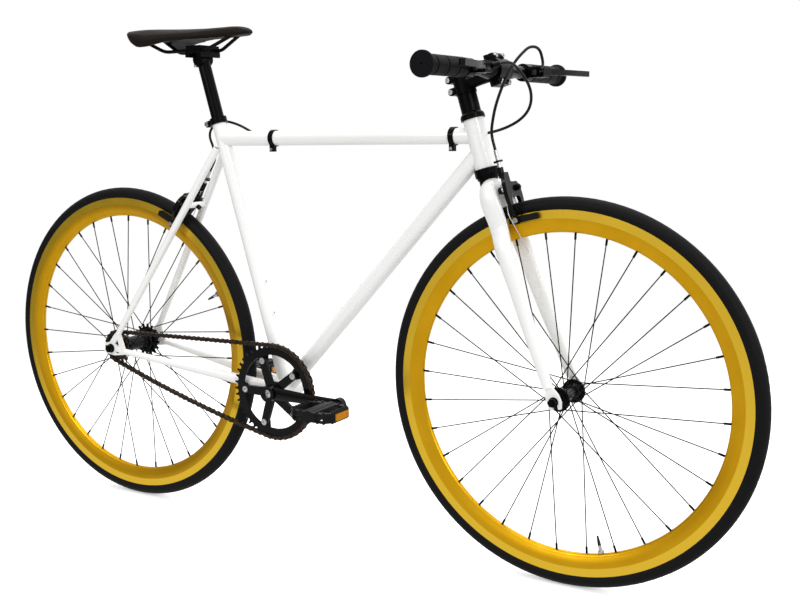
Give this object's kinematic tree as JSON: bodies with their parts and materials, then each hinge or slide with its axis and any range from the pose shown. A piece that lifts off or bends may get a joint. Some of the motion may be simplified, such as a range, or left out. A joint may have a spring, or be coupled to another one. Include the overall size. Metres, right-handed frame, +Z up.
{
  "type": "fixed gear bike",
  "caption": "Single-speed track-style bicycle with flat bar, deep rims, chain drive without derailleur, two rim brakes, turning fork, spinning wheels, cranks and pedals.",
  "frame": {"origin": "on the ground, midway between the two axles, in the plane of the wheels", "axes": "+X forward, +Y to the rider's left, +Z up; the chain is on the -Y side"},
  "size_m": [1.6909, 0.516, 0.9998],
  "materials": {
    "white_paint": "gloss",
    "gold_anodised": "satin",
    "tyre_rubber": "matte",
    "tube_rubber": "matte",
    "black_spoke_steel": "satin",
    "black_alloy": "satin",
    "silver_steel": "polished",
    "chain_steel": "oiled",
    "black_steel": "satin",
    "grip_rubber": "matte",
    "housing_plastic": "satin",
    "pedal_plastic": "matte",
    "saddle_cover": "matte"
  },
  "bodies": {
    "frame": {"head_tube": "white_paint", "top_tube": "white_paint", "down_tube": "white_paint", "seat_tube": "white_paint", "bottom_bracket_shell": "white_paint", "chainstays": "white_paint", "seatstays": "white_paint", "rear_dropouts": "white_paint", "bottle_bosses": "black_steel", "seat_clamp": "black_alloy", "cable_clips": "black_alloy", "headset_cups": "black_alloy", "bottom_bracket_cartridge": "black_steel", "chain": "chain_steel", "rear_brake_housing": "housing_plastic", "rear_brake_loop": "housing_plastic", "rear_axle": "black_steel", "rear_brake_bolt": "silver_steel"},
    "steering": {"fork_steerer": "white_paint", "fork_blades": "white_paint", "headset_bearings": "silver_steel", "headset_spacers": "black_alloy", "stem": "black_alloy", "stem_faceplate": "black_alloy", "stem_bolts": "silver_steel", "handlebar": "black_alloy", "grips": "grip_rubber", "brake_lever_brackets": "black_alloy", "front_brake_cable": "housing_plastic", "front_axle": "black_steel", "front_brake_bolt": "silver_steel"},
    "front_wheel": {"front_tyre": "tyre_rubber", "front_inner_tube": "tube_rubber", "front_rim": "gold_anodised", "front_spokes": "black_spoke_steel", "front_hub": "black_alloy"},
    "rear_wheel": {"rear_tyre": "tyre_rubber", "rear_inner_tube": "tube_rubber", "rear_rim": "gold_anodised", "rear_spokes": "black_spoke_steel", "rear_hub": "black_alloy", "fixed_cog": "chain_steel"},
    "freewheel": {"freewheel": "chain_steel"},
    "crank": {"crank_spindle": "black_steel", "right_crank": "black_alloy", "left_crank": "black_alloy", "chainring": "black_alloy", "crank_bolts": "silver_steel"},
    "right_pedal": {"right_pedal": "pedal_plastic"},
    "left_pedal": {"left_pedal": "pedal_plastic"},
    "right_brake_lever": {"right_brake_lever": "black_alloy"},
    "left_brake_lever": {"left_brake_lever": "black_alloy"},
    "front_caliper_right_arm": {"front_caliper_right_arm": "black_alloy"},
    "front_caliper_left_arm": {"front_caliper_left_arm": "black_alloy"},
    "rear_caliper_right_arm": {"rear_caliper_right_arm": "black_alloy"},
    "rear_caliper_left_arm": {"rear_caliper_left_arm": "black_alloy"},
    "seatpost": {"seatpost": "black_alloy"},
    "saddle": {"saddle_clamp": "black_alloy", "saddle_rails": "black_spoke_steel", "saddle": "saddle_cover"}
  },
  "joints": [
    {"name": "steering_turn", "type": "hinge", "parent": "frame", "child": "steering", "pos_m": [0.46805, 0, 0.32798], "axis": [-0.2756, 0, 0.9613], "range_deg": [-75, 75], "deforming": ["rear_brake_loop"]},
    {"name": "rear_wheel_spin", "type": "hinge", "parent": "frame", "child": "rear_wheel", "pos_m": [-0.5065, 0, 0.339], "axis": [0, 1, 0], "continuous": true, "deforming": ["chain"]},
    {"name": "front_wheel_spin", "type": "hinge", "parent": "steering", "child": "front_wheel", "pos_m": [0.5065, 0, 0.339], "axis": [0, 1, 0], "continuous": true},
    {"name": "crank_turn", "type": "hinge", "parent": "frame", "child": "crank", "pos_m": [-0.08895, 0, 0.286], "axis": [0, 1, 0], "continuous": true},
    {"name": "freewheel_spin", "type": "hinge", "parent": "rear_wheel", "child": "freewheel", "pos_m": [-0.5065, 0, 0.339], "axis": [0, 1, 0], "continuous": true},
    {"name": "right_pedal_spin", "type": "hinge", "parent": "crank", "child": "right_pedal", "pos_m": [0.08105, 0, 0.286], "axis": [0, 1, 0], "continuous": true},
    {"name": "left_pedal_spin", "type": "hinge", "parent": "crank", "child": "left_pedal", "pos_m": [-0.25895, 0, 0.286], "axis": [0, 1, 0], "continuous": true},
    {"name": "left_lever_squeeze", "type": "hinge", "parent": "steering", "child": "left_brake_lever", "pos_m": [0.40819, 0.113, 0.88779], "axis": [0, 0, 1], "range_deg": [0, 15], "stiffness_Nm_per_rad": 1.5, "springref_deg": -2.86},
    {"name": "right_lever_squeeze", "type": "hinge", "parent": "steering", "child": "right_brake_lever", "pos_m": [0.40819, -0.113, 0.88779], "axis": [0, 0, -1], "range_deg": [0, 15], "stiffness_Nm_per_rad": 1.5, "springref_deg": -2.86},
    {"name": "front_right_arm_close", "type": "hinge", "parent": "steering", "child": "front_caliper_right_arm", "pos_m": [0.39311, 0, 0.68568], "axis": [0.9613, 0, 0.2756], "range_deg": [0, 1.6]},
    {"name": "front_left_arm_close", "type": "hinge", "parent": "steering", "child": "front_caliper_left_arm", "pos_m": [0.39229, 0.022, 0.68856], "axis": [-0.9613, 0, -0.2756], "range_deg": [0, 1.6]},
    {"name": "rear_left_arm_close", "type": "hinge", "parent": "frame", "child": "rear_caliper_left_arm", "pos_m": [-0.31576, 0, 0.65033], "axis": [-0.8395, 0, 0.5434], "range_deg": [0, 1.6]},
    {"name": "rear_right_arm_close", "type": "hinge", "parent": "frame", "child": "rear_caliper_right_arm", "pos_m": [-0.31412, -0.022, 0.65284], "axis": [0.8395, 0, -0.5434], "range_deg": [0, 1.6]},
    {"name": "seatpost_slide", "type": "slide", "parent": "frame", "child": "seatpost", "axis": [-0.2723, 0, 0.9622], "range_m": [-0.08, 0.03]},
    {"name": "saddle_tilt", "type": "hinge", "parent": "seatpost", "child": "saddle", "pos_m": [-0.27247, 0, 0.93454], "axis": [0, 1, 0], "range_deg": [-8, 8]}
  ],
  "couplings": [
    {"joint": "crank_turn", "follows": "rear_wheel_spin", "ratio": 0.34783},
    {"joint": "front_right_arm_close", "follows": "left_lever_squeeze", "ratio": 0.10667},
    {"joint": "front_left_arm_close", "follows": "left_lever_squeeze", "ratio": 0.10667},
    {"joint": "rear_left_arm_close", "follows": "right_lever_squeeze", "ratio": 0.10667},
    {"joint": "rear_right_arm_close", "follows": "right_lever_squeeze", "ratio": 0.10667}
  ]
}
